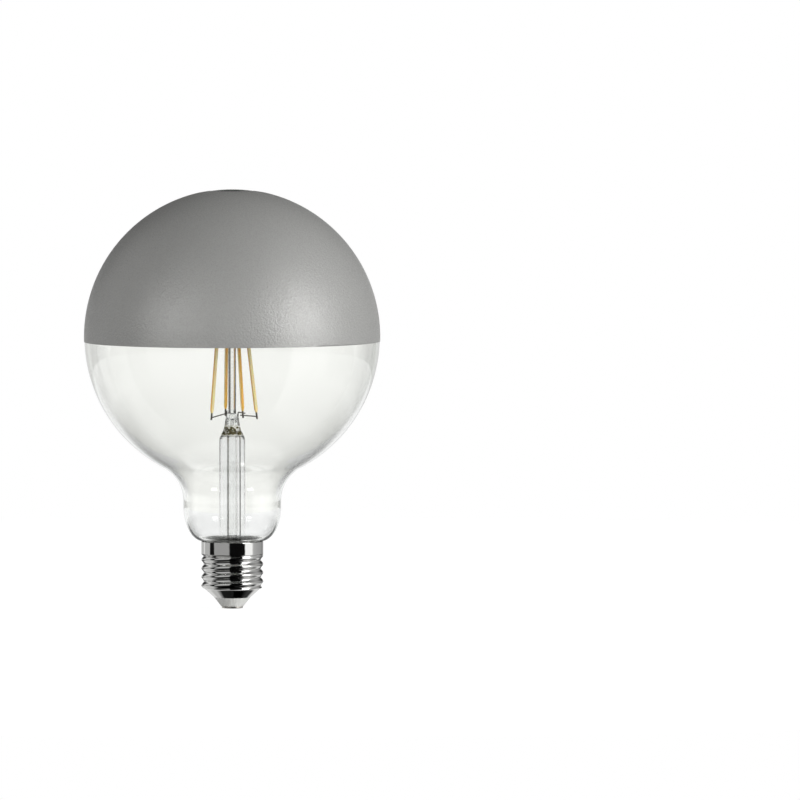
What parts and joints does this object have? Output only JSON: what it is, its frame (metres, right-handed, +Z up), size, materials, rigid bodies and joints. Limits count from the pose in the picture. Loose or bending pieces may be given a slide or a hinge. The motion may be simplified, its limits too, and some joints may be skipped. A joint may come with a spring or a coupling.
{
  "type": "led globe bulb",
  "caption": "Large globe LED lamp: clear blown glass with a grey painted dome, stick filaments on a glass stem, a short neck and an E27 screw cap.",
  "frame": {"origin": "underside of the centre contact, on the bulb's axis", "axes": "+Z up the axis from the contact to the globe, -Y to the front, +X to the viewer's right"},
  "size_m": [0.125, 0.125, 0.1768],
  "materials": {
    "globe_glass": "clear blown glass",
    "dome_paint": "satin grey paint film with fine metal flakes",
    "stem_glass": "clear drawn glass",
    "nickel_wire": "oxidised nickel iron wire",
    "filament_pins": "stamped nickel iron",
    "filament_phosphor": "yellow phosphor in silicone",
    "cap_nickel": "rolled brass sheet, bright nickel plate",
    "cap_cement": "grey filled resin cement",
    "insulator_white": "white moulded thermoset",
    "contact_tin": "tinned brass",
    "board_laminate": "green glass fibre laminate",
    "package_black": "black moulding compound",
    "capacitor_sleeve": "shrunk plastic sleeve",
    "choke_ferrite": "sintered ferrite",
    "choke_copper": "enamelled copper",
    "fuse_lacquer": "lacquered ceramic",
    "tinned_copper": "tinned copper wire"
  },
  "bodies": {
    "root": {"glass_globe": "globe_glass", "dome_coating": "dome_paint", "stem_flare": "stem_glass", "exhaust_tube": "stem_glass", "centre_rod": "stem_glass", "lead_wire_left": "nickel_wire", "lead_wire_right": "nickel_wire", "link_wire_left": "nickel_wire", "link_wire_right": "nickel_wire", "top_wire_front": "nickel_wire", "top_wire_rear": "nickel_wire", "filament_lower_pins": "filament_pins", "filament_upper_pins": "filament_pins", "filament_front_left": "filament_phosphor", "filament_front_right": "filament_phosphor", "filament_rear_left": "filament_phosphor", "filament_rear_right": "filament_phosphor", "screw_shell": "cap_nickel", "cap_cement": "cap_cement", "cap_insulator": "insulator_white", "centre_contact": "contact_tin", "driver_board": "board_laminate", "bridge_rectifier": "package_black", "driver_chip": "package_black", "smoothing_capacitor": "capacitor_sleeve", "choke_core": "choke_ferrite", "choke_winding": "choke_copper", "fuse_resistor": "fuse_lacquer", "fuse_leads": "tinned_copper", "shell_wire": "tinned_copper"}
  },
  "joints": []
}
